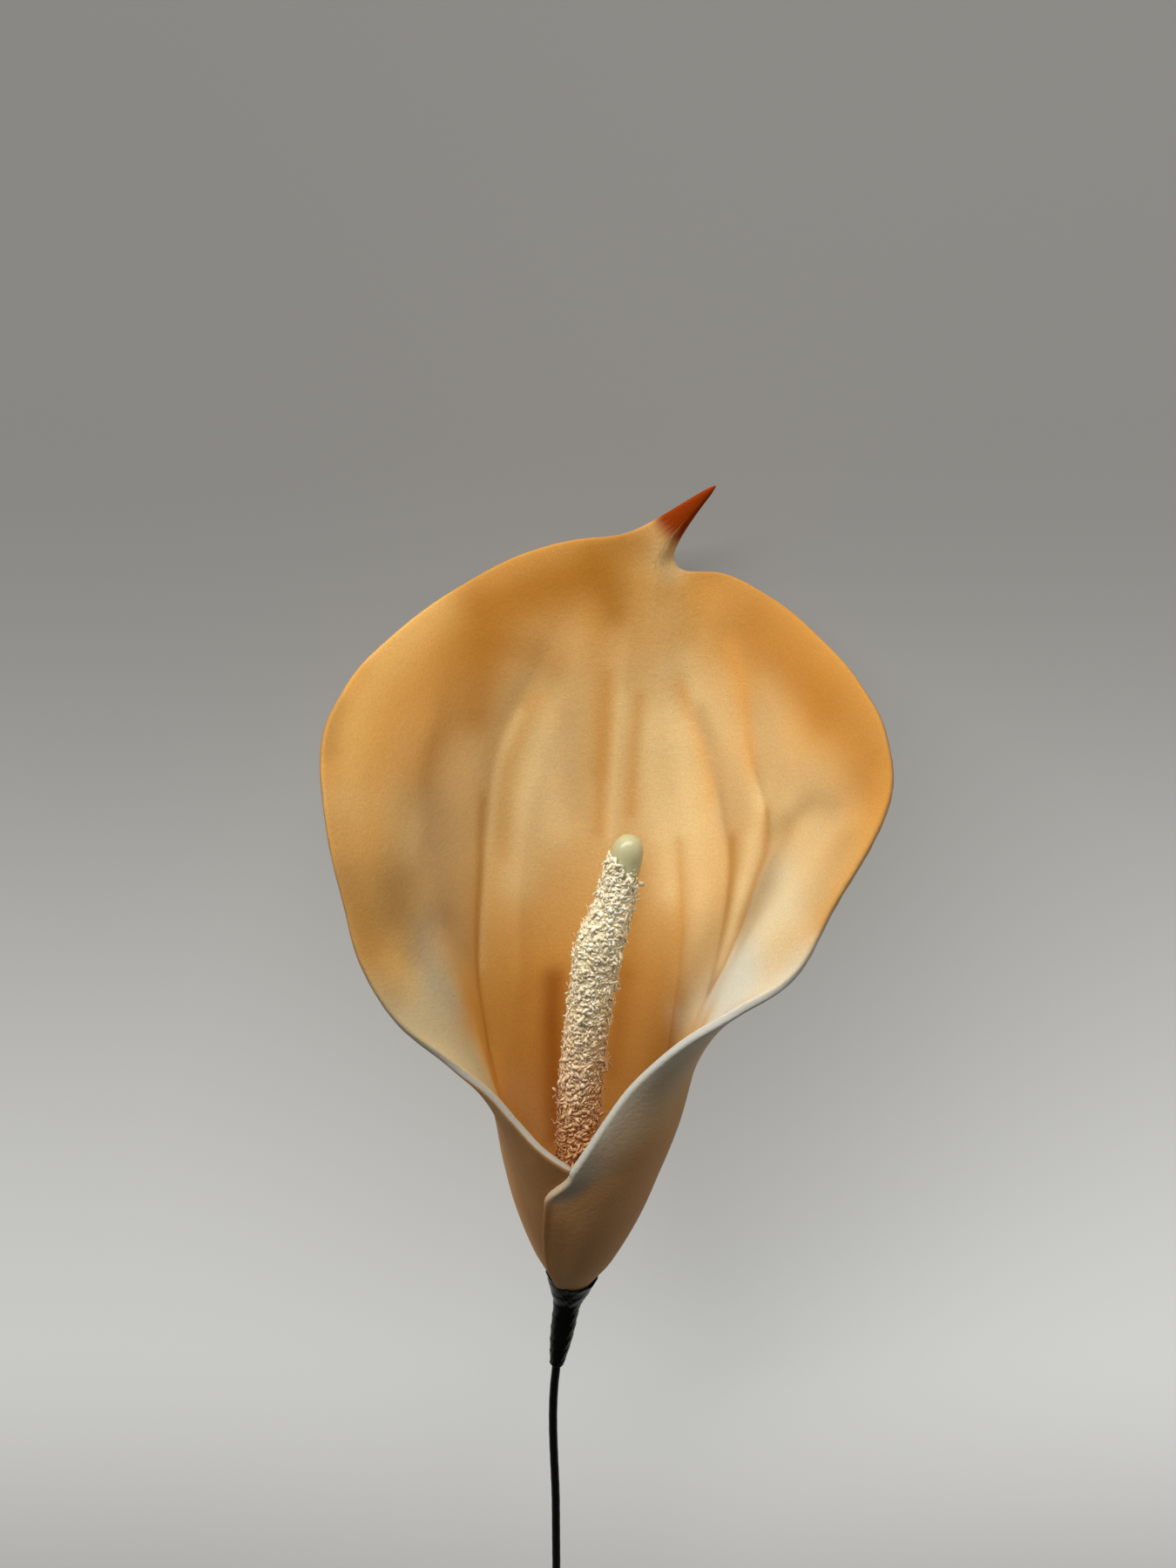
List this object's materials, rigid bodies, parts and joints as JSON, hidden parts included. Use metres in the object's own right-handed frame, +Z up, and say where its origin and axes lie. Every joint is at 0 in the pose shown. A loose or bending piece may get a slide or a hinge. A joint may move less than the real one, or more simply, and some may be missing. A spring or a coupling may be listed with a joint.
{
  "type": "artificial calla lily flower",
  "caption": "Artificial calla lily flower: a foam-sheet funnel with a curled rim and bent tail, a flaked spadix and a taped wire stem, lying on its back.",
  "frame": {"origin": "on the table, under the middle of the flower's bounding box", "axes": "+Y from the cut end of the wire to the tail of the bloom, +Z up, out of the bloom's open front, +X to the right of someone who looks into it with the tail away from them"},
  "size_m": [0.1192, 0.335, 0.0588],
  "materials": {
    "foam_sheet": "fine-grained matt craft foam, cream with soft orange airbrushing, deeper in the throat, pale at the lower rim and burnt orange at the tail",
    "translucent_stick": "pale green translucent cast stick, smooth and slightly waxy",
    "crushed_flakes": "crushed off-white flakes, peach-tinted towards the throat",
    "black_tape": "stretched glossy black tape, wound with small overlaps",
    "coated_wire": "dark green-black coating, semi-matt",
    "set_glue": "clear hot-melt glue"
  },
  "bodies": {
    "root": {"spathe": "foam_sheet", "spadix_core": "translucent_stick", "spadix_flakes": "crushed_flakes", "tape_wrap": "black_tape", "stem_wire": "coated_wire", "glue_plug": "set_glue"}
  },
  "joints": []
}
